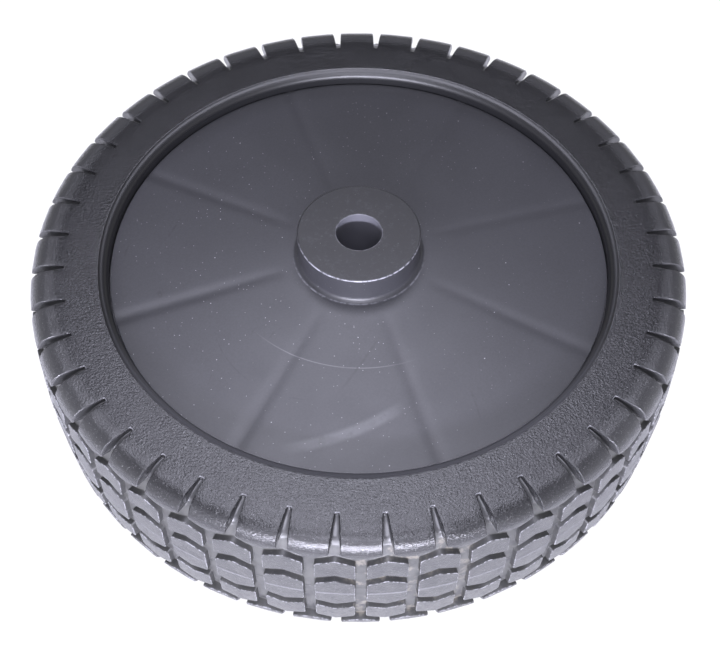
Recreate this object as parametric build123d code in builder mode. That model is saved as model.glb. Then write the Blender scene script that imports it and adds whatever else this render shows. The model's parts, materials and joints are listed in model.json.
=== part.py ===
from build123d import *

import os
from math import cos, pi, radians

# Walk-behind mower wheel in two mouldings: a ribbed plastic disc with its hub and rim, and a block-tread tyre.
# Millimetres. The axle runs along Z through the origin, which lies on the tread's middle plane. The closed
# front face of the disc and the proud end of the hub point along +Z, and one back rib lies along +X.

# Tyre
wheel_diameter = 180.0
tyre_width = 47.0
tyre_section = 18.0  # radial thickness of the tyre over the rim
tread_crown = 1.2  # how far the tread falls from its level middle to the sidewalls
shoulder_radius = 5.0

# Tread blocks
pitch_count = 44
tread_turn = 3.0  # degrees from the rib on +X to the middle of a column of blocks
block_width = 10.1
groove_width = 3.2
tread_depth = 1.6
chevron_rise = 1.85  # how far the middle of a block's edge stands beyond its corners
lug_height = 3.6  # shoulder lug, from the sidewall to its edge beside the slot
wall_draft = 6.0  # degrees

# Slots between the shoulder lugs
slot_reach = 10.4  # from the tread towards the axle, along the sidewall
slot_inner_width = 1.3
slot_outer_width = 3.1
slot_depth = 1.5  # at the sidewall
slot_floor_radius = 8.0  # rounding of the slot's floor over the shoulder

# Lips that grip the rim, alike on both sides
lip_reach = 4.0  # how far a lip covers the rim, inwards
lip_round = 2.1
lip_crease = 0.3  # step between the sidewall and the rounded lip

# Disc plate and rim
face_drop = 4.0  # from the sidewall to the plate's face, at the lip
face_rise = 3.0  # the face climbs this much from the lip to the hub
gap_width = 0.3  # open seam between the plate's edge and the lip
gap_depth = 1.2
plate_thickness = 3.0
rim_wall = 3.0

# Hub
bore_diameter = 12.3
hub_diameter = 33.2
hub_proud = 7.3  # front end, above the sidewall
hub_setback = 1.0  # back end, inside the sidewall
hub_fillet = 1.4
hub_cap = 5.0  # closed front end over the coring
sleeve_wall = 3.5  # round the bore
hub_wall = 3.2  # outside the coring
edge_round = 0.4  # hub's front edge

# Ribs behind the plate, and the sink marks that they leave on its face
rib_count = 8
rib_thickness = 2.4
rib_rim_setback = 3.0  # rib's edge, inside the rim's edge
rib_hub_setback = 2.0  # rib's edge, inside the hub's end
rib_bite = 0.5  # how far a rib runs into the sleeve and the rim
sink_depth = 0.25
sink_width = 6.0
sink_start = 4.0  # from the hub's side to where a mark begins

# Worked-out radii and heights
tread_radius = wheel_diameter / 2
floor_radius = tread_radius - tread_depth
rim_radius = tread_radius - tyre_section
rim_inner_radius = rim_radius - rim_wall
lip_radius = rim_radius - lip_reach
face_radius = lip_radius - gap_width
slot_inner_radius = tread_radius - slot_reach
hub_radius = hub_diameter / 2
bore_radius = bore_diameter / 2
sleeve_radius = bore_radius + sleeve_wall
core_radius = hub_radius - hub_wall

side_z = tyre_width / 2
face_z = side_z - face_drop
seat_z = face_z - gap_depth
face_hub_z = face_z + face_rise
plate_slope = face_rise / (face_radius - hub_radius)
hub_front_z = side_z + hub_proud
hub_back_z = hub_setback - side_z

# Edges of the tread rows, at the middle of a column
row_height = (side_z - lug_height - 2 * groove_width) / 2
middle_row_top = row_height
outer_row_low = middle_row_top + groove_width
outer_row_top = outer_row_low + row_height
lug_edge = side_z - lug_height
crown_start = middle_row_top + groove_width / 2  # the tread is level as far as this

# Cutting tools reach past what they cut by this much
overcut = 2.0


def face_height(radius):
    """Height of the plate's conical face at a radius."""
    return face_z + plate_slope * (face_radius - radius)


def chevron_edge(middle):
    """Corner, middle and corner of a block edge that points away from the tread's middle plane."""
    corner = middle - chevron_rise if middle > 0 else middle + chevron_rise
    return [(-block_width / 2, corner), (0, middle), (block_width / 2, corner)]


def block_outline(low, top):
    """Outline of one tread block between two chevron edges."""
    return chevron_edge(low) + chevron_edge(top)[::-1]


# Carcass: the ring whose outside is the floor of every groove and slot
with BuildPart() as carcass:
    carcass_side_z = side_z - slot_depth
    carcass_inner_radius = (rim_radius + slot_inner_radius) / 2
    with BuildSketch(Plane.XZ) as carcass_section:
        with BuildLine():
            Polyline(
                (floor_radius, 0),
                (floor_radius, crown_start),
                (floor_radius - tread_crown, carcass_side_z),
                (carcass_inner_radius, carcass_side_z),
                (carcass_inner_radius, 0),
            )
            mirror(about=Plane.XZ)
        make_face()
        fillet(carcass_section.vertices().group_by(SortBy.DISTANCE)[-1], radius=slot_floor_radius)
    revolve(axis=Axis.Z)

# Tread tool: the grooves of one column, with its three blocks left standing, drawn at the tread's face
with BuildPart() as groove_tool:
    pitch_length = 2 * pi * tread_radius / pitch_count
    tool_half_width = (pitch_length + groove_width / 4) / 2
    tool_floor_x = (floor_radius - tread_crown) * cos(radians(180 / pitch_count)) - tread_depth / 2
    tread_plane = Plane((tread_radius, 0, 0), x_dir=(0, 1, 0), z_dir=(1, 0, 0))
    with BuildSketch(tread_plane) as grooves:
        with BuildLine():
            strip_edge = lug_edge - chevron_rise
            Polyline(
                (-tool_half_width, strip_edge),
                *chevron_edge(lug_edge),
                (tool_half_width, strip_edge),
                (tool_half_width, -strip_edge),
                *chevron_edge(-lug_edge)[::-1],
                (-tool_half_width, -strip_edge),
                close=True,
            )
        make_face()
        middle_block = block_outline(-middle_row_top, middle_row_top)
        front_block = block_outline(outer_row_low, outer_row_top)
        back_block = block_outline(-outer_row_top, -outer_row_low)
        for outline in (middle_block, front_block, back_block):
            with BuildLine():
                Polyline(*outline, close=True)
            make_face(mode=Mode.SUBTRACT)
    extrude(amount=tool_floor_x - tread_radius)
    draft(groove_tool.faces().filter_by(Axis.X, reverse=True), -tread_plane, wall_draft)
    extrude(grooves.sketch, amount=overcut)

# Slot tool: one tapered slot on each side of the tyre
with BuildPart() as slot_tool:
    slot_start_z = lug_edge - groove_width / 2
    slot_flare = (slot_outer_width - slot_inner_width) / 2 / slot_reach
    slot_outer_half = slot_outer_width / 2 + slot_flare * overcut
    with BuildSketch(Plane.XY.offset(slot_start_z)):
        with BuildLine():
            Polyline(
                (slot_inner_radius, -slot_inner_width / 2),
                (tread_radius + overcut, -slot_outer_half),
                (tread_radius + overcut, slot_outer_half),
                (slot_inner_radius, slot_inner_width / 2),
                close=True,
            )
        make_face()
    extrude(amount=side_z + overcut - slot_start_z)
    mirror(about=Plane.XY)

# Tyre: a solid ring with lips, cut by the tools down to the carcass
with BuildPart() as tyre:
    with BuildSketch(Plane.XZ) as tyre_profile:
        with BuildLine():
            crease = (lip_radius + lip_round, side_z - lip_crease)
            lip_end = (lip_radius, crease[1] - lip_round)
            Polyline(
                (tread_radius, 0),
                (tread_radius, crown_start),
                (tread_radius - tread_crown, side_z),
                (crease[0] + lip_crease, side_z),
                crease,
            )
            TangentArc(crease, lip_end, tangent=(-1, 0))
            Polyline(lip_end, (lip_radius, seat_z), (rim_radius, seat_z), (rim_radius, 0))
            mirror(about=Plane.XZ)
        make_face()
        fillet(tyre_profile.vertices().group_by(SortBy.DISTANCE)[-1], radius=shoulder_radius)
    revolve(axis=Axis.Z)
    with PolarLocations(0, pitch_count, start_angle=tread_turn):
        add(groove_tool.part, mode=Mode.SUBTRACT)
        add(slot_tool.part, mode=Mode.SUBTRACT)
    add(carcass.part)

# Sink tool: a shallow round furrow that deepens from the hub to the plate's edge
with BuildPart() as sink_tool:
    sink_radius = (sink_width / 2) ** 2 / (2 * sink_depth) + sink_depth / 2
    mark_start_radius = hub_radius + hub_fillet + sink_start
    mark_start = Vector(mark_start_radius, 0, face_height(mark_start_radius) + sink_radius)
    mark_end = Vector(face_radius, 0, face_z + sink_radius - sink_depth)
    with BuildSketch(Plane(mark_start, x_dir=(0, 1, 0), z_dir=mark_end - mark_start)):
        Circle(sink_radius)
    extrude(amount=(mark_end - mark_start).length + overcut)

# Rib: one web from the bore sleeve to the rim, buried in the plate
with BuildPart() as rib:
    rib_inner = sleeve_radius - rib_bite
    rib_outer = rim_inner_radius + rib_bite
    rib_top_drop = plate_thickness / 2
    with BuildSketch(Plane.XZ):
        with BuildLine():
            Polyline(
                (rib_inner, face_height(hub_radius) - rib_top_drop),
                (hub_radius, face_height(hub_radius) - rib_top_drop),
                (face_radius, face_z - rib_top_drop),
                (rib_outer, seat_z - rib_top_drop),
                (rib_outer, rib_rim_setback - seat_z),
                (hub_radius, hub_back_z + rib_hub_setback),
                (rib_inner, hub_back_z + rib_hub_setback),
                close=True,
            )
        make_face()
    extrude(amount=rib_thickness / 2, both=True)

# Wheel disc: bore sleeve, cored hub, plate, rim and ribs in one moulding
with BuildPart() as wheel_disc:
    with BuildSketch(Plane.XZ):
        with BuildLine():
            Polyline(
                (bore_radius, hub_back_z),
                (sleeve_radius, hub_back_z),
                (sleeve_radius, hub_front_z - hub_cap),
                (core_radius, hub_front_z - hub_cap),
                (core_radius, hub_back_z),
                (hub_radius, hub_back_z),
                (hub_radius, face_hub_z - plate_thickness),
                (face_radius, face_z - plate_thickness),
                (rim_inner_radius, seat_z - plate_thickness),
                (rim_inner_radius, -seat_z),
                (rim_radius, -seat_z),
                (rim_radius, seat_z),
                (face_radius, seat_z),
                (face_radius, face_z),
                (hub_radius, face_hub_z),
                (hub_radius, hub_front_z),
                (bore_radius, hub_front_z),
                close=True,
            )
        make_face()
    revolve(axis=Axis.Z)
    hub_base = wheel_disc.edges().filter_by(GeomType.CIRCLE).filter_by_position(Axis.Z, face_hub_z, face_hub_z)
    fillet(hub_base, radius=hub_fillet)
    hub_rim = wheel_disc.edges().filter_by(GeomType.CIRCLE).group_by(Axis.Z)[-1].sort_by(SortBy.RADIUS)[-1]
    fillet(hub_rim, radius=edge_round)
    with PolarLocations(0, rib_count):
        add(rib.part)
        add(sink_tool.part, mode=Mode.SUBTRACT)

os.makedirs("parts", exist_ok=True)
for piece, label in ((wheel_disc, "wheel_disc"), (tyre, "tyre")):
    piece.part.label = label
    export_step(piece.part, f"parts/{label}.step")
    print(label, len(piece.part.solids()), round(piece.part.volume), piece.part.is_valid, len(piece.part.faces()))
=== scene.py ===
"""Dresses the mower wheel: a block-tread tyre with worn, dusty rubber, and its ribbed, scuffed plastic disc."""

import json
import math

import bpy
from mathutils import Matrix, Vector, noise


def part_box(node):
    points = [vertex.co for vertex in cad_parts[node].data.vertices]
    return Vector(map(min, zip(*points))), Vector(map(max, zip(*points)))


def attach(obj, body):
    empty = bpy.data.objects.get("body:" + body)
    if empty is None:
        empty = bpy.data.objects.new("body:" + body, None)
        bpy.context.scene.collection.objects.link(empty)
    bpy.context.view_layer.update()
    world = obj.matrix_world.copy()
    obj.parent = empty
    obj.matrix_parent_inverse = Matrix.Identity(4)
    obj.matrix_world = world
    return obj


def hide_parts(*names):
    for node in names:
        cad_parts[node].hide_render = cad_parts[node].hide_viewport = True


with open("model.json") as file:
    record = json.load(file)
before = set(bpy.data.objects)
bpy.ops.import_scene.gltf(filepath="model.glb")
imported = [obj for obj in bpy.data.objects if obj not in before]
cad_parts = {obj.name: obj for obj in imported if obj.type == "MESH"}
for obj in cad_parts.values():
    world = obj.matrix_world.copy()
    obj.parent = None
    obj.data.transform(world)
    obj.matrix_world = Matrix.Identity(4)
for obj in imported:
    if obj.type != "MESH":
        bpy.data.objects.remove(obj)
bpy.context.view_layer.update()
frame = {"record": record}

MM = 0.001

# Tyre outline
TREAD_RADIUS = 90 * MM
SIDE_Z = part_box("tyre")[1].z
TREAD_CROWN = 1.2 * MM
SHOULDER_RADIUS = 5 * MM
TREAD_DEPTH = 1.6 * MM
SLOT_DEPTH = 1.5 * MM
SLOT_FLOOR_RADIUS = 8 * MM
RIM_RADIUS = 72 * MM
LIP_RADIUS = 68 * MM
LIP_ROUND = 2.1 * MM
LIP_CREASE = 0.3 * MM

# Tread pattern
PITCH_COUNT = 44
TREAD_TURN = math.radians(3.0)  # from the X axis to the middle of a column of blocks
BLOCK_HALF_WIDTH = 5.05 * MM
GROOVE_WIDTH = 3.2 * MM
CHEVRON_RISE = 1.85 * MM
HEXAGON_BEND = 0.3  # share of the chevron's bend, half way up a hexagon
LUG_HEIGHT = 3.6 * MM
SLOT_REACH = 10.4 * MM
SLOT_INNER_HALF = 0.65 * MM
SLOT_OUTER_HALF = 1.55 * MM
EDGE_ROUND = 0.3 * MM
CORNER_ROUND = 0.7 * MM
WORN_EDGE_START, WORN_EDGE_END = 0.05, 0.6  # depths below the face, as shares of EDGE_ROUND
PARTING_HEIGHT = 0.12 * MM
PARTING_HALF_WIDTH = 0.2 * MM
RUBBER_WAVER = 0.09 * MM
WAVER_LENGTH = 3.5 * MM
WAVER_FADE = 4 * MM

# Mesh of the tyre: columns of one pitch, and rows from one feature of the section to the next
PITCH_COLUMNS = 8
CHEVRON_ROWS = 2
SHOULDER_ROWS = 6
SLOT_ROWS = 3
SIDEWALL_ROWS = 5
LIP_ROWS = 7
SEAT_ROWS = 3
CORNER_SEGMENTS = 3
EDGE_SEGMENTS = 2
SHARP_ANGLE = math.radians(50)
TYRE_SMOOTH_ANGLE = math.radians(40)
TYRE_MERGE = 0.01 * MM
GROOVE_SEARCH_STEPS = 12

# Disc
BORE_RADIUS = frame["record"]["mounts"][0]["dims"]["r_mm"] * MM
HUB_RADIUS = 16.6 * MM
HUB_FRONT_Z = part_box("wheel_disc")[1].z
HUB_BACK_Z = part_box("wheel_disc")[0].z
HUB_FILLET = 1.4 * MM
HUB_CAP = 5 * MM
HUB_WALL = 3.2 * MM
SLEEVE_WALL = 3.5 * MM
SLEEVE_RADIUS = BORE_RADIUS + SLEEVE_WALL
CORE_RADIUS = HUB_RADIUS - HUB_WALL
SEAM_WIDTH = 0.3 * MM
SEAM_DEPTH = 1.2 * MM
FACE_RADIUS = LIP_RADIUS - SEAM_WIDTH
FACE_DROP = 4 * MM
FACE_RISE = 3 * MM
FACE_Z = SIDE_Z - FACE_DROP
SEAT_Z = FACE_Z - SEAM_DEPTH
PLATE_THICKNESS = 3 * MM
RIM_WALL = 3 * MM
EDGE_SOFT = 0.4 * MM
EDGE_FINE = 0.15 * MM
RIB_COUNT = 8
RIB_THICKNESS = 2.4 * MM
RIB_RIM_SETBACK = 3 * MM
RIB_HUB_SETBACK = 2 * MM
RIB_BITE = 0.5 * MM
SINK_DEPTH = 0.22 * MM
SINK_MEAN, SINK_SWING = 0.8, 0.25  # shares of SINK_DEPTH: the marks are deeper on the viewer's left
SINK_HALF_WIDTH = 1.7 * MM
SINK_START = 3 * MM

# Mesh of the disc
DISC_STEPS = 360
FACE_STEPS = 36
EDGE_STEPS = 3
FINE_EDGE_STEPS = 2
FILLET_STEPS = 6
DISC_SMOOTH_ANGLE = math.radians(35)
DISC_MERGE = 0.005 * MM

# Camera, fitted to the photograph's ring of slots
VIEW_TURN = math.radians(-18.33)
VIEW_ELEVATION = math.radians(54.73)
VIEW_ROLL = math.radians(0.54)
VIEW_PLACE = Vector((0.51, -216.7, 293.3)) * MM
VIEW_LENS = 63.55
VIEW_SENSOR = 36

# Room, floor and lamps, in the camera's own turn about the wheel, in metres and watts
ROOM_FRONT = 0.42
ROOM_BACK = 0.06
ROOM_HORIZON = 0.8
HORIZON_TOP = 0.45
FLOOR_SIZE = 6
FLOOR_ROUGHNESS = 0.9
FLOOR_WHITE = 0.85
LAMP_TINT = (0.94, 0.94, 1.12)
SOFTBOXES = (  # name, place, aim, width and height, power
    ("overhead_softbox", (-0.04, 0.36, 1.0), (-0.04, 0.36, 0), (0.6, 0.6), 8.1),
    ("fill_softbox", (0, -0.42, 0.92), (0, 0, 0), (0.4, 0.8), 7),
    ("front_softbox", (-0.5, -1.0, 0.62), (0, 0, 0), (1.1, 0.6), 4),
    ("low_strip", (-0.05, -0.9, 0.24), (0, 0, 0.02), (0.8, 0.025), 22),
)


def deselect_all():
    """Leaves nothing selected, so that the next operator acts on one piece alone."""
    for item in bpy.context.selected_objects:
        item.select_set(False)


def activate(piece):
    """Makes one piece the selected and active object."""
    deselect_all()
    piece.select_set(True)
    bpy.context.view_layer.objects.active = piece


def apply_modifiers(piece):
    """Applies every modifier of a piece, in order."""
    activate(piece)
    for modifier in list(piece.modifiers):
        bpy.ops.object.modifier_apply(modifier=modifier.name)


def select_faces(piece, wanted):
    """Selects the faces of a piece that the test picks, and opens edit mode in face mode."""
    activate(piece)
    bpy.ops.object.mode_set(mode="EDIT")
    bpy.ops.mesh.select_mode(type="FACE")
    bpy.ops.mesh.select_all(action="DESELECT")
    bpy.ops.object.mode_set(mode="OBJECT")
    for face in piece.data.polygons:
        face.select = wanted(face)
    bpy.ops.object.mode_set(mode="EDIT")


def select_sharp(piece):
    """Selects the sharp edges of a piece, and goes back to object mode."""
    activate(piece)
    bpy.ops.object.mode_set(mode="EDIT")
    bpy.ops.mesh.select_mode(type="EDGE")
    bpy.ops.mesh.select_all(action="DESELECT")
    bpy.ops.mesh.edges_select_sharp(sharpness=SHARP_ANGLE)
    bpy.ops.object.mode_set(mode="OBJECT")


def bevel_selected(width, segments):
    """Rounds the selected edges of the active piece."""
    bpy.ops.object.mode_set(mode="EDIT")
    bpy.ops.mesh.bevel(offset=width, segments=segments, affect="EDGES", clamp_overlap=True)
    bpy.ops.object.mode_set(mode="OBJECT")


def smooth(piece, angle):
    """Shades a piece smooth up to an angle, with its broad faces kept flat."""
    activate(piece)
    bpy.ops.object.shade_smooth_by_angle(angle=angle)
    normals = piece.modifiers.new("normals", "WEIGHTED_NORMAL")
    normals.keep_sharp = True
    apply_modifiers(piece)


def spread(start, end, count):
    """Evenly spaced values after start, up to and with end."""
    return [start + (end - start) * (i + 1) / count for i in range(count - 1)] + [end]


# Tyre section: a path of points and outward normals, from the tread's middle plane to the middle of its seat


class CrownedShoulder:
    """Crowned tread and rounded shoulder of a ring, in radius and height."""

    def __init__(self, radius, side_z, rounding):
        self.crown_radius = (side_z**2 + TREAD_CROWN**2) / (2 * TREAD_CROWN)
        self.crown_centre = radius - self.crown_radius
        self.rounding = rounding
        self.side_z = side_z
        self.round_z = side_z - rounding
        reach = math.sqrt((self.crown_radius - rounding) ** 2 - self.round_z**2)
        self.round_radius = self.crown_centre + reach
        self.start_angle = math.atan2(self.round_z, reach)
        self.start_z = self.round_z + rounding * math.sin(self.start_angle)

    def gap(self, radius, height):
        """Distance of a point outside the ring's outline."""
        if height < self.start_z and radius > self.round_radius:
            return math.hypot(radius - self.crown_centre, height) - self.crown_radius
        if radius < self.round_radius:
            return height - self.side_z
        return math.hypot(radius - self.round_radius, height - self.round_z) - self.rounding


envelope = CrownedShoulder(TREAD_RADIUS, SIDE_Z, SHOULDER_RADIUS)
carcass = CrownedShoulder(TREAD_RADIUS - TREAD_DEPTH, SIDE_Z - SLOT_DEPTH, SLOT_FLOOR_RADIUS)

SHOULDER_LENGTH = SHOULDER_RADIUS * (math.pi / 2 - envelope.start_angle)
SHOULDER_END = envelope.start_z + SHOULDER_LENGTH
CREASE_RADIUS = LIP_RADIUS + LIP_ROUND + LIP_CREASE
CREASE_START = SHOULDER_END + envelope.round_radius - CREASE_RADIUS
CREASE_END = CREASE_START + LIP_CREASE * math.sqrt(2)
LIP_END = CREASE_END + LIP_ROUND * math.pi / 2
LIP_FOOT_Z = SIDE_Z - LIP_CREASE - LIP_ROUND
FOOT_END = LIP_END + LIP_FOOT_Z - SEAT_Z
SEAT_END = FOOT_END + RIM_RADIUS - LIP_RADIUS
PATH_END = SEAT_END + SEAT_Z


def section_point(s):
    """Radius, height and outward normal of the tyre's outside, at a length s from the tread's middle."""
    if s <= envelope.start_z:
        radius = envelope.crown_centre + math.sqrt(envelope.crown_radius**2 - s**2)
        return radius, s, (radius - envelope.crown_centre) / envelope.crown_radius, s / envelope.crown_radius
    if s <= SHOULDER_END:
        angle = envelope.start_angle + (s - envelope.start_z) / SHOULDER_RADIUS
        out, up = math.cos(angle), math.sin(angle)
        return envelope.round_radius + SHOULDER_RADIUS * out, envelope.round_z + SHOULDER_RADIUS * up, out, up
    if s <= CREASE_START:
        return envelope.round_radius - (s - SHOULDER_END), SIDE_Z, 0, 1
    if s <= CREASE_END:
        step = (s - CREASE_START) / math.sqrt(2)
        return CREASE_RADIUS - step, SIDE_Z - step, 0, 1
    if s <= LIP_END:
        angle = (s - CREASE_END) / LIP_ROUND
        back, up = math.sin(angle), math.cos(angle)
        return LIP_RADIUS + LIP_ROUND * (1 - back), LIP_FOOT_Z + LIP_ROUND * up, -back, up
    if s <= FOOT_END:
        return LIP_RADIUS, LIP_FOOT_Z - (s - LIP_END), -1, 0
    if s <= SEAT_END:
        return LIP_RADIUS + (s - FOOT_END), SEAT_Z, 0, -1
    return RIM_RADIUS, SEAT_Z - (s - SEAT_END), -1, 0


def groove_depth(radius, height, out, up):
    """Distance from the outside down its normal to the carcass, found by walking towards it."""
    depth = 0
    for _ in range(GROOVE_SEARCH_STEPS):
        depth += carcass.gap(radius - depth * out, height - depth * up)
    return depth


# Tyre: one flat pitch of its skin, repeated and wrapped round the wheel
ROW_HEIGHT = (SIDE_Z - LUG_HEIGHT - 2 * GROOVE_WIDTH) / 2
LUG_EDGE = SIDE_Z - LUG_HEIGHT
SLOT_INNER_RADIUS = TREAD_RADIUS - SLOT_REACH
SLOT_END = SHOULDER_END + envelope.round_radius - SLOT_INNER_RADIUS
PITCH = 2 * math.pi * TREAD_RADIUS / PITCH_COUNT


def half_rows():
    """Rows from the tread's middle to the seat's middle: length, and the share of the chevron's bend."""
    chevron_low, chevron_top = ROW_HEIGHT + GROOVE_WIDTH, LUG_EDGE - GROOVE_WIDTH
    rows = [(0, 0), (PARTING_HALF_WIDTH, 0), (ROW_HEIGHT / 2, HEXAGON_BEND), (ROW_HEIGHT, 1), (chevron_low, 1)]
    rows += [(s, 1) for s in spread(chevron_low, chevron_top, CHEVRON_ROWS)]
    rows.append((LUG_EDGE, 1))
    shoulder = spread(LUG_EDGE, SHOULDER_END, SHOULDER_ROWS)
    rows += [(s, 1 - (i + 1) / SHOULDER_ROWS) for i, s in enumerate(shoulder)]
    plain = spread(SHOULDER_END, SLOT_END, SLOT_ROWS) + spread(SLOT_END, CREASE_START, SIDEWALL_ROWS)
    plain += [CREASE_END] + spread(CREASE_END, LIP_END, LIP_ROWS)
    plain += [FOOT_END, SEAT_END] + spread(SEAT_END, PATH_END, SEAT_ROWS)
    return rows + [(s, 0) for s in plain]


def slot_half_at(s):
    """Half the slot's width in the flat grid, where lengths are those at the tread's radius."""
    s = min(max(s, LUG_EDGE), SLOT_END)
    radius = section_point(s)[0]
    share = (radius - SLOT_INNER_RADIUS) / SLOT_REACH
    half = SLOT_INNER_HALF + (SLOT_OUTER_HALF - SLOT_INNER_HALF) * share
    return half * TREAD_RADIUS / radius - EDGE_ROUND / 2


def flat_pitch():
    """One pitch of the tyre's skin as a flat grid, with its grooves and slots pushed in and its edges rounded."""
    half = half_rows()
    rows = [(-s, bend) for s, bend in half[:0:-1]] + half
    row_count, middle_row, middle_column = len(rows) - 1, len(half) - 1, PITCH_COLUMNS // 2
    bpy.ops.mesh.primitive_grid_add(x_subdivisions=PITCH_COLUMNS, y_subdivisions=row_count, size=2)
    piece = bpy.context.object
    mesh = piece.data

    cells = {}
    for face in mesh.polygons:
        column = round((face.center.x + 1) / 2 * PITCH_COLUMNS - 0.5)
        row = round((face.center.y + 1) / 2 * row_count - 0.5)
        cells[face.index] = (column, row - middle_row)
    for vertex in mesh.vertices:
        column = round((vertex.co.x + 1) / 2 * PITCH_COLUMNS) - middle_column
        s, bend = rows[round((vertex.co.y + 1) / 2 * row_count)]
        slot = slot_half_at(abs(s))
        off_middle = (0, slot, (slot + BLOCK_HALF_WIDTH) / 2, BLOCK_HALF_WIDTH, PITCH / 2)[abs(column)]
        drop = CHEVRON_RISE * bend * min(off_middle / BLOCK_HALF_WIDTH, 1)
        vertex.co = (math.copysign(off_middle, column), s - math.copysign(drop, s), 0)

    lengths = [s for s, _ in half]
    hexagon_end = lengths.index(ROW_HEIGHT)
    chevron_start = hexagon_end + 1
    chevron_end = chevron_start + CHEVRON_ROWS
    lug_start = chevron_end + 1
    slot_end = lengths.index(SLOT_END)

    def in_groove(face):
        """Whether a face is pushed in: between the blocks, or in the slot between two lugs."""
        column, row = cells[face.index]
        row = row if row >= 0 else -row - 1
        strip = column in (0, PITCH_COLUMNS - 1)
        slot = column in (middle_column - 1, middle_column)
        if row < lug_start:
            return strip or hexagon_end <= row < chevron_start or chevron_end <= row < lug_start
        return slot and row < slot_end

    select_faces(piece, in_groove)
    bpy.ops.mesh.extrude_region_move(TRANSFORM_OT_translate={"value": (0, 0, -TREAD_DEPTH)})
    bpy.ops.object.mode_set(mode="OBJECT")
    at_end = [abs(abs(vertex.co.x) - PITCH / 2) < TYRE_MERGE for vertex in mesh.vertices]
    select_faces(piece, lambda face: all(at_end[i] for i in face.vertices))
    bpy.ops.mesh.delete(type="FACE")
    bpy.ops.object.mode_set(mode="OBJECT")
    select_sharp(piece)
    for edge in mesh.edges:
        first, second = (mesh.vertices[i].co for i in edge.vertices)
        upright = abs(first.z - second.z) > TREAD_DEPTH / 2
        edge.select = edge.select and upright and abs(first.y) < envelope.start_z
    bevel_selected(CORNER_ROUND, CORNER_SEGMENTS)
    select_sharp(piece)
    bevel_selected(EDGE_ROUND, EDGE_SEGMENTS)
    return piece


def wrap_round_wheel(piece):
    """Bends the flat strip of pitches into the tyre's ring, with the waver of real rubber.

    Two values stay on each point for the material: how deep it lies in a groove, and whether it is on a worn edge.
    """
    groove = piece.data.attributes.new("groove", "FLOAT", "POINT")
    edge = piece.data.attributes.new("edge", "FLOAT", "POINT")
    for vertex in piece.data.vertices:
        x, y, z = vertex.co
        radius, height, out, up = section_point(abs(y))
        sunk = min(-z / TREAD_DEPTH, 1)
        groove.data[vertex.index].value = sunk
        edge.data[vertex.index].value = WORN_EDGE_START < -z / EDGE_ROUND < WORN_EDGE_END
        lift = -sunk * groove_depth(radius, height, out, up) if sunk > 0 else 0
        if abs(y) < PARTING_HALF_WIDTH / 2:
            lift += PARTING_HEIGHT
        angle = x / TREAD_RADIUS + TREAD_TURN
        where = Vector((math.cos(angle), math.sin(angle), y / TREAD_RADIUS)) * TREAD_RADIUS
        waver = RUBBER_WAVER * (noise.noise(where / WAVER_LENGTH) - 1) / 2
        steady = min(max((SLOT_END - abs(y)) / WAVER_FADE, 0), 1)
        lift += steady * (waver - PARTING_HEIGHT)
        radius += lift * out
        height += lift * up
        vertex.co = (radius * math.cos(angle), radius * math.sin(angle), math.copysign(height, y))


def make_tyre():
    """The tyre as one closed skin."""
    piece = flat_pitch()
    piece.name = "block_tread_tyre"
    array = piece.modifiers.new("pitches", "ARRAY")
    array.count = PITCH_COUNT
    array.use_relative_offset = False
    array.use_constant_offset = True
    array.constant_offset_displace = (PITCH, 0, 0)
    array.use_merge_vertices = True
    array.merge_threshold = TYRE_MERGE
    apply_modifiers(piece)
    wrap_round_wheel(piece)
    select_faces(piece, lambda face: True)
    bpy.ops.mesh.remove_doubles(threshold=TYRE_MERGE)
    bpy.ops.mesh.normals_make_consistent(inside=False)
    bpy.ops.object.mode_set(mode="OBJECT")
    smooth(piece, TYRE_SMOOTH_ANGLE)
    return piece


# Disc: a section spun round the axle, with eight ribs joined on behind its plate


def arc(centre, radius, start, end, steps=EDGE_STEPS):
    """Points of an arc in radius and height, angles in degrees from the radius axis."""
    angles = [math.radians(start + (end - start) * i / steps) for i in range(steps + 1)]
    return [(centre[0] + radius * math.cos(a), centre[1] + radius * math.sin(a)) for a in angles]


def face_height(radius):
    """Height of the disc's conical face at a radius."""
    return FACE_Z + FACE_RISE * (FACE_RADIUS - radius) / (FACE_RADIUS - HUB_RADIUS)


def disc_section():
    """Closed outline of the disc, its hub and its rim, in radius and height."""
    soft, fine = EDGE_SOFT, EDGE_FINE
    rim_inner = RIM_RADIUS - RIM_WALL
    hub_foot = HUB_RADIUS + HUB_FILLET
    face_hub_z = face_height(hub_foot)
    points = arc((BORE_RADIUS + fine, HUB_FRONT_Z - fine), fine, 180, 90)
    points += arc((HUB_RADIUS - soft, HUB_FRONT_Z - soft), soft, 90, 0)
    points += arc((hub_foot, face_hub_z + HUB_FILLET), HUB_FILLET, 180, 270, FILLET_STEPS)
    points += [(r, face_height(r)) for r in spread(hub_foot, FACE_RADIUS - fine, FACE_STEPS)]
    points += arc((FACE_RADIUS - fine, FACE_Z - fine), fine, 90, 0, FINE_EDGE_STEPS)[1:]
    points += [(FACE_RADIUS, SEAT_Z), (RIM_RADIUS, SEAT_Z), (RIM_RADIUS, -SEAT_Z)]
    points += arc((rim_inner + soft, soft - SEAT_Z), soft, 270, 180)
    points += [(rim_inner, SEAT_Z - PLATE_THICKNESS), (FACE_RADIUS, FACE_Z - PLATE_THICKNESS)]
    points += [(HUB_RADIUS, face_hub_z - PLATE_THICKNESS)]
    points += arc((HUB_RADIUS - soft, HUB_BACK_Z + soft), soft, 0, -90)
    points += arc((CORE_RADIUS + soft, HUB_BACK_Z + soft), soft, 270, 180)
    points += [(CORE_RADIUS, HUB_FRONT_Z - HUB_CAP), (SLEEVE_RADIUS, HUB_FRONT_Z - HUB_CAP)]
    points += arc((SLEEVE_RADIUS - soft, HUB_BACK_Z + soft), soft, 0, -90)
    points += arc((BORE_RADIUS + soft, HUB_BACK_Z + soft), soft, 270, 180)
    return points


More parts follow.
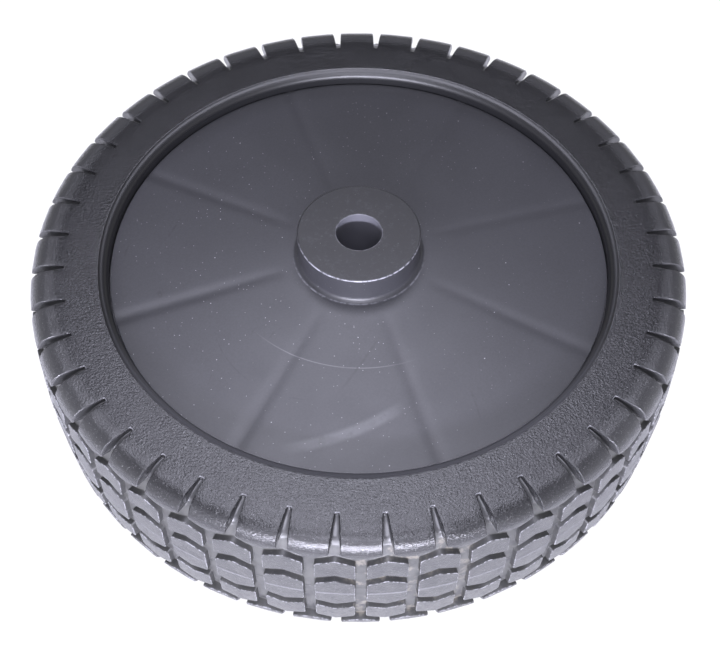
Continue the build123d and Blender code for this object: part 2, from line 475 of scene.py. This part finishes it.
def press_sink_marks(piece):
    """Lowers the disc's face over each rib, more towards the rim."""
    start = HUB_RADIUS + HUB_FILLET + SINK_START
    step = 2 * math.pi / RIB_COUNT
    for vertex in piece.data.vertices:
        x, y, z = vertex.co
        radius = math.hypot(x, y)
        if not start < radius < FACE_RADIUS or z < FACE_Z - EDGE_SOFT:
            continue
        angle = math.atan2(y, x)
        off = (angle + step / 2) % step - step / 2
        growth = (radius - start) / (FACE_RADIUS - start)
        depth = SINK_DEPTH * (SINK_MEAN - SINK_SWING * math.cos(angle - VIEW_TURN))
        vertex.co.z -= depth * growth**0.5 * math.exp(-((radius * off / SINK_HALF_WIDTH) ** 2))


def new_piece(name, points, edges, faces):
    """A piece of the scene from a drawn outline."""
    mesh = bpy.data.meshes.new(name)
    mesh.from_pydata(points, edges, faces)
    piece = bpy.data.objects.new(name, mesh)
    bpy.context.scene.collection.objects.link(piece)
    return piece


def make_rib(number):
    """One rib from the bore's sleeve to the rim, as a thin plate turned to its place."""
    inner, outer = SLEEVE_RADIUS - RIB_BITE, RIM_RADIUS - RIM_WALL + RIB_BITE
    buried = PLATE_THICKNESS / 2
    outline = [
        (inner, face_height(HUB_RADIUS) - buried),
        (HUB_RADIUS, face_height(HUB_RADIUS) - buried),
        (FACE_RADIUS, FACE_Z - buried),
        (outer, SEAT_Z - buried),
        (outer, RIB_RIM_SETBACK - SEAT_Z),
        (HUB_RADIUS, HUB_BACK_Z + RIB_HUB_SETBACK),
        (inner, HUB_BACK_Z + RIB_HUB_SETBACK),
    ]
    rib = new_piece("rib", [(x, -RIB_THICKNESS / 2, z) for x, z in outline], [], [range(len(outline))])
    select_faces(rib, lambda face: True)
    bpy.ops.mesh.extrude_region_move(TRANSFORM_OT_translate={"value": (0, RIB_THICKNESS, 0)})
    bpy.ops.mesh.select_all(action="SELECT")
    bpy.ops.mesh.normals_make_consistent(inside=False)
    bpy.ops.object.mode_set(mode="OBJECT")
    rib.data.transform(Matrix.Rotation(2 * math.pi * number / RIB_COUNT, 4, "Z"))
    return rib


def make_disc():
    """The disc with its hub, rim and ribs as one closed skin."""
    section = disc_section()
    edges = [(i, (i + 1) % len(section)) for i in range(len(section))]
    piece = new_piece("wheel_disc_moulding", [(r, 0, z) for r, z in section], edges, [])
    activate(piece)
    bpy.ops.object.mode_set(mode="EDIT")
    bpy.ops.mesh.select_all(action="SELECT")
    bpy.ops.mesh.spin(steps=DISC_STEPS, angle=2 * math.pi, center=(0, 0, 0), axis=(0, 0, 1))
    bpy.ops.mesh.select_all(action="SELECT")
    bpy.ops.mesh.remove_doubles(threshold=DISC_MERGE)
    bpy.ops.mesh.normals_make_consistent(inside=False)
    bpy.ops.object.mode_set(mode="OBJECT")
    press_sink_marks(piece)
    ribs = [make_rib(number) for number in range(RIB_COUNT)]
    activate(ribs[0])
    for rib in ribs:
        rib.select_set(True)
    bpy.ops.object.join()
    union = piece.modifiers.new("ribs", "BOOLEAN")
    union.operation = "UNION"
    union.solver = "EXACT"
    union.object = ribs[0]
    apply_modifiers(piece)
    bpy.data.objects.remove(ribs[0])
    smooth(piece, DISC_SMOOTH_ANGLE)
    return piece


# Materials: paints in linear light, and masks by place on the wheel in millimetres


def grey(level, blue=0.14):
    """A grey with a violet-blue tint, or a warm one where blue is below 0."""
    return (level, level, level * (1 + blue), 1)


BLACK = (0, 0, 0, 1)
WHITE = (1, 1, 1, 1)
FLOOR_PAINT = (0.9, 0.9, 0.9, 1)

RUBBER_SHADES = grey(0.005), grey(0.009)
WORN_RUBBER = grey(0.038, 0.04)
NEAR_SHOULDER_SHEEN = grey(0.05, 0.02)
LIP_AND_PAINTED_LIP_SHEEN = grey(0.007), grey(0.045)
CREASE_EDGE_AND_HIGHLIGHT = grey(0.24, 0.06)
SLOT_DUST_AND_FILL_LIGHT = grey(0.08, 0.02)
RUBBED_RUBBER = grey(0.066, -0.04)
ABRADED_RUBBER = grey(0.11, -0.06)
GROOVE_DUST = grey(0.07, -0.06)
DRY_SOIL = (0.26, 0.235, 0.19, 1)
PARTING_LINE = grey(0.26, 0.06)
RUBBER_FLECK = grey(0.24, -0.02)
BRIGHT_EDGE = grey(0.4, 0.06)
SLOT_TIP_HIGHLIGHT = grey(0.3, 0.06)
PAINTED_SKIN_SPARKLE = grey(0.4, 0)
RUBBER_GRAIN = 0.13 * MM

PLASTIC_SHADES = grey(0.022), grey(0.031)
PALE_SCRATCH = grey(0.3, 0.04)
DARK_SCRATCH = grey(0.012)
DUST_SPECK = grey(0.5, 0.02)
FLASH_AND_PAINTED_HIGHLIGHT = grey(0.34, 0.1)
HUB_SIDE_SHEEN = grey(0.07)
TURNED_MARK = grey(0.16)
BORE_FILL_LIGHT = grey(0.1)
PLASTIC_GRAIN = 0.012 * MM

# Scratches on the disc's face: radius and degrees of both ends, with 270 degrees towards the viewer, bow and width
PALE_STREAK = ((63.8, 251.8), (48.7, 285.6), -2.47, 2.2)
PALE_HAIRLINE = ((37.5, 221.0), (37.5, 297.5), -7.76, 0.22)
DARK_SCRATCHES = (
    ((46.2, 216.7), (49.4, 239.2), -1.68, 0.22),
    ((39.1, 224.5), (35.4, 223.5), 0.52, 0.25),
    ((37.3, 231.2), (31.1, 232.8), 0.95, 0.3),
    ((49.5, 244.1), (47.7, 257.4), -0.52, 0.22),
    ((53.6, 225.9), (57.1, 227.9), 0.08, 0.22),
    ((27.6, 282.6), (45.4, 263.5), 0.31, 0.5),
    ((51.5, 164.5), (53.5, 174.5), 0.05, 0.4),
    ((63.4, 176.0), (64.3, 180.4), -0.12, 0.4),
    ((55.1, 192.6), (54.8, 195.9), 0.05, 0.9),
    ((60.4, 300.9), (51.2, 304.0), -0.16, 0.4),
)
SCRATCH_CORE = 0.3  # share of a scratch's width that is solid


def around(radius, degrees):
    """A place on the disc's face, in millimetres, with 270 degrees towards the viewer."""
    return Vector((radius * math.cos(math.radians(degrees)), radius * math.sin(math.radians(degrees))))


class Look:
    """A material in the making: short calls that add a node and return its output."""

    def __init__(self, name):
        self.material = bpy.data.materials.new(name)
        self.material.use_nodes = True
        self.nodes = self.material.node_tree.nodes
        self.links = self.material.node_tree.links
        self.shader = self.nodes["Principled BSDF"]

    def feed(self, socket, value):
        """Sets an input to a value, or links it to another node's output."""
        if isinstance(value, bpy.types.NodeSocket):
            self.links.new(value, socket)
        else:
            socket.default_value = value

    def math(self, operation, *values):
        """Result of a sum on values and outputs."""
        node = self.nodes.new("ShaderNodeMath")
        node.operation = operation
        for socket, value in zip(node.inputs, values):
            self.feed(socket, value)
        return node.outputs["Value"]

    def both(self, *masks):
        """Product of any number of masks."""
        result = masks[0]
        for mask in masks[1:]:
            result = self.math("MULTIPLY", result, mask)
        return result

    def either(self, *masks):
        """Largest of any number of masks."""
        result = masks[0]
        for mask in masks[1:]:
            result = self.math("MAXIMUM", result, mask)
        return result

    def without(self, mask):
        """1 where a mask is 0, and 0 where it is 1."""
        return self.math("SUBTRACT", 1, mask)

    def weigh(self, mask, share, base):
        """A base value, with a share of a mask on top."""
        return self.math("MULTIPLY_ADD", mask, share, base)

    def rise(self, value, low, high):
        """Goes smoothly from 0 at low to 1 at high, also where low is the larger."""
        node = self.nodes.new("ShaderNodeMapRange")
        node.interpolation_type = "SMOOTHSTEP"
        for name, entry in (("Value", value), ("From Min", low), ("From Max", high)):
            self.feed(node.inputs[name], entry)
        return node.outputs["Result"]

    def band(self, value, start, full, last, end):
        """1 from full to last, and 0 before start and after end."""
        return self.both(self.rise(value, start, full), self.rise(value, end, last))

    def noise(self, where, scale, detail=2, roughness=0.5, distortion=0):
        """Even noise from 0 to 1."""
        node = self.nodes.new("ShaderNodeTexNoise")
        entries = (("Vector", where), ("Scale", scale), ("Detail", detail), ("Roughness", roughness))
        for name, entry in entries + (("Distortion", distortion),):
            self.feed(node.inputs[name], entry)
        return node.outputs["Fac"]

    def patches(self, where, scale, low, high, detail=3, roughness=0.6, distortion=0):
        """Patches of noise, from 0 at its low level to 1 at its high one."""
        return self.rise(self.noise(where, scale, detail, roughness, distortion), low, high)

    def mix(self, factor, first, second):
        """Colour between two colours."""
        node = self.nodes.new("ShaderNodeMix")
        node.data_type = "RGBA"
        for socket, value in zip((node.inputs[0], node.inputs[6], node.inputs[7]), (factor, first, second)):
            self.feed(socket, value)
        return node.outputs[2]

    def tint(self, colour, paint, *masks):
        """A colour with a paint laid over it, as far as the product of the masks says."""
        return self.mix(self.both(*masks), colour, paint)

    def stored(self, name):
        """A value that the mesh holds on its points."""
        node = self.nodes.new("ShaderNodeAttribute")
        node.attribute_name = name
        return node.outputs["Fac"]

    def place(self):
        """Place on the wheel in millimetres, with X to the viewer's right and Y away from the viewer."""
        coordinates = self.nodes.new("ShaderNodeTexCoord")
        turned = self.nodes.new("ShaderNodeVectorRotate")
        turned.rotation_type = "Z_AXIS"
        turned.inputs["Angle"].default_value = -VIEW_TURN
        scaled = self.nodes.new("ShaderNodeVectorMath")
        scaled.operation = "SCALE"
        scaled.inputs["Scale"].default_value = 1 / MM
        self.links.new(coordinates.outputs["Object"], turned.inputs["Vector"])
        self.links.new(turned.outputs["Vector"], scaled.inputs["Vector"])
        return scaled.outputs["Vector"]

    def axes(self, where):
        """X, Y and Z of a place or a colour."""
        node = self.nodes.new("ShaderNodeSeparateXYZ")
        self.links.new(where, node.inputs["Vector"])
        return node.outputs

    def distance(self, where, point=Vector((0, 0))):
        """Distance in plan from a point, or from the axle."""
        flat = self.nodes.new("ShaderNodeVectorMath")
        flat.operation = "MULTIPLY"
        flat.inputs[1].default_value = (1, 1, 0)
        gap = self.nodes.new("ShaderNodeVectorMath")
        gap.operation = "DISTANCE"
        gap.inputs[1].default_value = (point.x, point.y, 0)
        self.links.new(where, flat.inputs[0])
        self.links.new(flat.outputs["Vector"], gap.inputs[0])
        return gap.outputs["Value"]

    def scratch(self, where, start, end, bow, width):
        """1 along a bowed scratch between two places on the disc's face, fading towards its ends."""
        start, end = around(*start), around(*end)
        chord = end - start
        across = Vector((-chord.y, chord.x)).normalized()
        radius = (chord.length_squared / 4 + bow**2) / (2 * abs(bow))
        middle = (start + end) / 2
        centre = middle + across * (bow - math.copysign(radius, bow))
        off = self.math("ABSOLUTE", self.math("SUBTRACT", self.distance(where, centre), radius))
        along = self.rise(self.distance(where, middle), chord.length / 2, chord.length / 4)
        return self.both(self.rise(off, width, width * SCRATCH_CORE), along)

    def dots(self, where, cell, size, share):
        """Round specks, one at most in each cell, on a share of the cells."""
        node = self.nodes.new("ShaderNodeTexVoronoi")
        self.feed(node.inputs["Vector"], where)
        node.inputs["Scale"].default_value = 1 / cell
        speck = self.rise(node.outputs["Distance"], size / cell, size / cell / 2)
        picked = self.rise(self.axes(node.outputs["Color"])["X"], share, share * 0.9)
        return self.both(speck, picked)

    def bump(self, height, depth, strength=1):
        """Gives the surface a fine relief."""
        node = self.nodes.new("ShaderNodeBump")
        node.inputs["Distance"].default_value = depth
        self.feed(node.inputs["Strength"], strength)
        self.links.new(height, node.inputs["Height"])
        self.links.new(node.outputs["Normal"], self.shader.inputs["Normal"])

    def finish(self, colour, roughness):
        """Feeds the shader's colour and roughness."""
        self.feed(self.shader.inputs["Base Color"], colour)
        self.feed(self.shader.inputs["Roughness"], roughness)


def tyre_rubber():
    """Grained black rubber, worn grey on the tread, with dust and soil in its grooves, and painted sheen,
    highlights, sparkle and fill light on it.
    """
    look = Look("worn_tyre_rubber")
    place = look.place()
    x, y, z = look.axes(place)
    height = look.math("ABSOLUTE", z)
    radius = look.distance(place)

    # Zones of the tyre
    groove, edge = look.stored("groove"), look.stored("edge")
    top = look.without(groove)
    tread = look.both(look.rise(height, 20.5, 18.5), look.rise(radius, 83, 86))
    off_tread = look.without(tread)
    block_top = look.both(tread, top)
    groove_floor = look.both(tread, groove)
    outer = look.rise(radius, 84.5, 87.5)
    shoulder = look.both(look.rise(radius, 80.5, 84.5), off_tread, top)
    lip = look.rise(radius, 70.6, 70.2)
    off_lip = look.without(lip)
    near = look.rise(y, -20, -60)

    # Moulded rubber, from the tread in to the lip and the ridge along its crease, with painted sheen on the
    # shoulder and lip top and a painted highlight on the ridge, towards the viewer
    colour = look.mix(look.noise(place, 0.06, 3), *RUBBER_SHADES)
    colour = look.tint(colour, WORN_RUBBER, outer, look.weigh(tread, 0.4, 0.35))
    # Painted sheen: the shoulder is lighter on the side towards the viewer only
    colour = look.tint(colour, NEAR_SHOULDER_SHEEN, shoulder, look.rise(y, -80, -50), 0.6)
    # Painted sheen: the lip's top is lighter on the side towards the viewer only
    painted_lip_sheen = look.both(look.rise(height, 21.2, 22.4), near)
    colour = look.mix(lip, colour, look.mix(painted_lip_sheen, *LIP_AND_PAINTED_LIP_SHEEN))
    # A faint pale edge along the crease all round, painted brighter towards the viewer as a highlight
    ridge = look.both(look.band(radius, 70, 70.25, 70.4, 70.6), look.rise(height, 22.9, 23.2))
    broken = look.both(look.patches(place, 0.9, 0.3, 0.7), look.rise(x, -68, -30))
    colour = look.tint(colour, CREASE_EDGE_AND_HIGHLIGHT, ridge, broken, look.weigh(near, 0.37, 0.08))

    # Wear on the blocks, and dust and soil between them; the slots' floors are also lightened as painted fill
    # light against their shade
    # Dust in the slots, and painted fill light that lifts their shade
    colour = look.tint(colour, SLOT_DUST_AND_FILL_LIGHT, groove, off_tread, 0.6)
    rubbed = look.patches(place, 0.3, 0.3, 0.7, 4, 0.65)
    colour = look.tint(colour, RUBBED_RUBBER, block_top, rubbed, 0.5)
    abraded = look.both(look.rise(z, 6, -18), look.patches(place, 0.8, 0.3, 0.6, 4, 0.7))
    colour = look.tint(colour, ABRADED_RUBBER, block_top, abraded, 0.5)
    dusty = look.patches(place, 0.25, 0.25, 0.6, 4)
    colour = look.tint(colour, GROOVE_DUST, groove_floor, dusty, 0.7)
    soil_span = look.both(look.band(x, -4, -1, 24, 32), look.rise(y, -70, -84))
    soil = look.patches(place, 0.4, 0.5, 0.65)
    colour = look.tint(colour, DRY_SOIL, groove_floor, soil_span, soil, 0.4)

    # Fine pale marks: the parting line, flecks and rubbed edges; and painted highlights on the slots' ends and
    # painted sparkle on the sidewall
    colour = look.tint(colour, PARTING_LINE, block_top, look.rise(height, 0.5, 0.15), 0.25)
    flecks = look.patches(place, 1.7, 0.58, 0.7, 4, 0.7)
    colour = look.tint(colour, RUBBER_FLECK, block_top, flecks, 0.35)
    bright_edge = look.both(edge, look.patches(place, 1.1, 0.44, 0.6))
    colour = look.tint(colour, BRIGHT_EDGE, bright_edge, look.weigh(tread, 0.55, 0.05))
    # Painted highlight on the slots' inner ends, on the side towards the viewer only
    colour = look.tint(colour, SLOT_TIP_HIGHLIGHT, edge, look.rise(radius, 80.1, 79.8), near, 0.5)
    skin = look.both(top, off_lip, off_tread)
    # Painted sparkle: the glints of the grain painted as pale specks, mostly towards the viewer
    painted_sparkle = look.both(look.patches(place, 2.2, 0.59, 0.72, 3, 0.7, 1.5), look.rise(y, 60, -75))
    colour = look.tint(colour, PAINTED_SKIN_SPARKLE, skin, painted_sparkle, 0.32)

    roughness = look.weigh(look.noise(place, 0.12, 3), 0.08, 0.2)
    roughness = look.weigh(tread, 0.2, look.weigh(lip, 0.15, roughness))
    look.finish(colour, roughness)
    leather = look.noise(place, 1.8, 3, 0.6)
    look.bump(look.both(leather, off_lip), RUBBER_GRAIN, look.rise(groove, 0.08, 0))
    return look.material


def disc_plastic():
    """Scuffed black plastic with pale and dark scratches, specks of dust, a flash line round the bore, and painted
    highlights, sheen, shade and fill light on the hub and face.
    """
    look = Look("scuffed_disc_plastic")
    place = look.place()
    x, y, z = look.axes(place)
    radius = look.distance(place)
    face = look.rise(z, 15, 17)

    # Moulded plastic with a fine mottling
    colour = look.mix(look.noise(place, 0.05, 4, 0.6), *PLASTIC_SHADES)
    mottling = look.patches(place, 1.8, 0.25, 0.75, 4, 0.7)
    colour = look.mix(mottling, look.mix(0.3, colour, BLACK), colour)

    # Scratches, and specks in loose clumps
    streak = look.both(look.scratch(place, *PALE_STREAK), 0.15)
    hairline = look.both(look.scratch(place, *PALE_HAIRLINE), 0.2)
    smear = look.patches(place, 0.3, 0.1, 0.55, 4, 0.7)
    colour = look.tint(colour, PALE_SCRATCH, look.either(streak, hairline), smear, face)
    worn = look.patches(place, 0.6, 0.3, 0.6)
    for ends_bow_width in DARK_SCRATCHES:
        colour = look.tint(colour, DARK_SCRATCH, look.scratch(place, *ends_bow_width), worn, face, 0.7)
    clumps = look.both(look.patches(place, 0.07, 0.3, 0.6, 2, 0.5), look.rise(x, 70, -40))
    fine_specks = look.both(look.dots(place, 1.3, 0.15, 0.45), look.weigh(clumps, 0.5, 0.12))
    large_specks = look.both(look.dots(place, 3.6, 0.2, 0.35), 0.6)
    colour = look.tint(colour, DUST_SPECK, look.either(fine_specks, large_specks), face)

    # Painted shade on the face's far edge, under the tyre's lip
    colour = look.tint(colour, BLACK, look.rise(radius, 60, 67.5), look.rise(y, 15, 55), 0.4)

    # A flash line round the bore; along the hub's edge a flash line with a painted highlight, and at its foot a
    # painted highlight, both on the viewer's side only
    front = look.rise(y, 2, -12)
    hub_edge_flash_and_highlight = look.both(look.band(radius, 16.25, 16.4, 16.65, 16.9), look.rise(z, 30.3, 30.5), front)
    bore_edge = look.both(look.rise(radius, 6.6, 6.35), look.rise(z, 30.4, 30.7), 0.7)
    painted_foot_highlight = look.both(look.band(radius, 17.5, 17.8, 17.9, 18.2), look.rise(z, 23, 22), front, 0.4)
    broken = look.patches(place, 0.8, 0.35, 0.6)
    colour = look.tint(colour, FLASH_AND_PAINTED_HIGHLIGHT, look.either(painted_foot_highlight, hub_edge_flash_and_highlight, bore_edge), broken)

    # Painted sheen on the hub's side, painted shade on its front end, turned marks there, and painted fill light
    # in the bore
    # Painted sheen on the hub's side
    hub_side_sheen = look.both(look.band(radius, 16.4, 16.55, 16.7, 17), look.rise(z, 22.5, 23.5))
    colour = look.tint(colour, HUB_SIDE_SHEEN, hub_side_sheen, 0.25)
    # Painted shade: the hub's front end darkened
    colour = look.tint(colour, BLACK, look.rise(z, 30.6, 30.75), 0.75)
    turned = look.both(look.rise(z, 30.3, 30.6), look.patches(place, 0.7, 0.5, 0.75, 5, 0.75))
    colour = look.tint(colour, TURNED_MARK, turned, 0.1)
    # Painted fill light on the bore's wall
    colour = look.tint(colour, BORE_FILL_LIGHT, look.rise(radius, 6.3, 6.2))

    look.finish(colour, look.weigh(look.noise(place, 0.09, 4, 0.6), 0.1, 0.36))
    look.bump(look.noise(place, 2.5, 3, 0.6), PLASTIC_GRAIN)
    return look.material


# Studio


def add_camera():
    """The camera, at the photograph's viewing angle."""
    data = bpy.data.cameras.new("camera")
    data.lens = VIEW_LENS
    data.sensor_width = VIEW_SENSOR
    data.sensor_fit = "HORIZONTAL"
    camera = bpy.data.objects.new("camera", data)
    bpy.context.scene.collection.objects.link(camera)
    turn = Matrix.Rotation(VIEW_TURN, 4, "Z")
    tilt = Matrix.Rotation(math.pi / 2 - VIEW_ELEVATION, 4, "X")
    roll = Matrix.Rotation(VIEW_ROLL, 4, "Z")
    camera.matrix_world = turn @ Matrix.Translation(VIEW_PLACE) @ tilt @ roll
    bpy.context.scene.camera = camera


def add_softbox(name, place, aim, size, power):
    """An oval lamp, placed and aimed in the camera's own turn about the wheel."""
    data = bpy.data.lights.new(name, "AREA")
    data.shape = "ELLIPSE"
    data.size, data.size_y = size
    data.energy = power
    data.color = LAMP_TINT
    lamp = bpy.data.objects.new(name, data)
    bpy.context.scene.collection.objects.link(lamp)
    direction = (Vector(aim) - Vector(place)).to_track_quat("-Z", "Y").to_matrix().to_4x4()
    lamp.matrix_world = Matrix.Rotation(VIEW_TURN, 4, "Z") @ Matrix.Translation(place) @ direction


def add_floor():
    """A pale floor under the tyre, lighter to the camera than to the wheel."""
    bpy.ops.mesh.primitive_plane_add(size=FLOOR_SIZE, location=(0, 0, -SIDE_Z))
    floor = bpy.context.object
    floor.name = "floor"
    look = Look("pale_floor")
    look.finish(FLOOR_PAINT, FLOOR_ROUGHNESS)
    white = look.nodes.new("ShaderNodeEmission")
    rays = look.nodes.new("ShaderNodeLightPath")
    seen = look.nodes.new("ShaderNodeMixShader")
    factor = look.math("MULTIPLY", rays.outputs["Is Camera Ray"], FLOOR_WHITE)
    for output, socket in zip((factor, look.shader.outputs[0], white.outputs[0]), seen.inputs):
        look.links.new(output, socket)
    look.links.new(seen.outputs[0], look.nodes["Material Output"].inputs["Surface"])
    floor.data.materials.append(look.material)


def add_world():
    """White to the camera; to the wheel, a room with a pale foot, bright on the viewer's side and dim beyond."""
    world = bpy.data.worlds.new("studio")
    world.use_nodes = True
    bpy.context.scene.world = world
    nodes, links = world.node_tree.nodes, world.node_tree.links

    def light_along(axis, low, high, light_low, light_high):
        """Light that goes smoothly from one level to another along an axis."""
        node = nodes.new("ShaderNodeMapRange")
        node.interpolation_type = "SMOOTHSTEP"
        levels = (("From Min", low), ("From Max", high), ("To Min", light_low), ("To Max", light_high))
        for name, entry in levels:
            node.inputs[name].default_value = entry
        links.new(axis, node.inputs["Value"])
        return node.outputs["Result"]

    coordinates = nodes.new("ShaderNodeTexCoord")
    turned = nodes.new("ShaderNodeVectorRotate")
    turned.rotation_type = "Z_AXIS"
    turned.inputs["Angle"].default_value = -VIEW_TURN
    axes = nodes.new("ShaderNodeSeparateXYZ")
    links.new(coordinates.outputs["Generated"], turned.inputs["Vector"])
    links.new(turned.outputs["Vector"], axes.inputs["Vector"])
    room = nodes.new("ShaderNodeMath")
    room.operation = "ADD"
    links.new(light_along(axes.outputs["Y"], -1, 1, ROOM_FRONT, ROOM_BACK), room.inputs[0])
    links.new(light_along(axes.outputs["Z"], 0, HORIZON_TOP, ROOM_HORIZON, 0), room.inputs[1])
    rays = nodes.new("ShaderNodeLightPath")
    level = nodes.new("ShaderNodeMix")
    level.inputs["B"].default_value = 1.0
    links.new(rays.outputs["Is Camera Ray"], level.inputs["Factor"])
    links.new(room.outputs["Value"], level.inputs["A"])
    background = nodes["Background"]
    background.inputs["Color"].default_value = WHITE
    links.new(level.outputs["Result"], background.inputs["Strength"])


def add_studio():
    """Camera, lamps, room and floor."""
    add_camera()
    for softbox in SOFTBOXES:
        add_softbox(*softbox)
    add_world()
    add_floor()
    bpy.context.scene.view_settings.view_transform = "Standard"


deselect_all()
tyre = make_tyre()
disc = make_disc()
for piece, node, material in ((tyre, "tyre", tyre_rubber()), (disc, "wheel_disc", disc_plastic())):
    piece.data.materials.clear()
    piece.data.materials.append(material)
    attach(piece, "root")
    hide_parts(node)
add_studio()
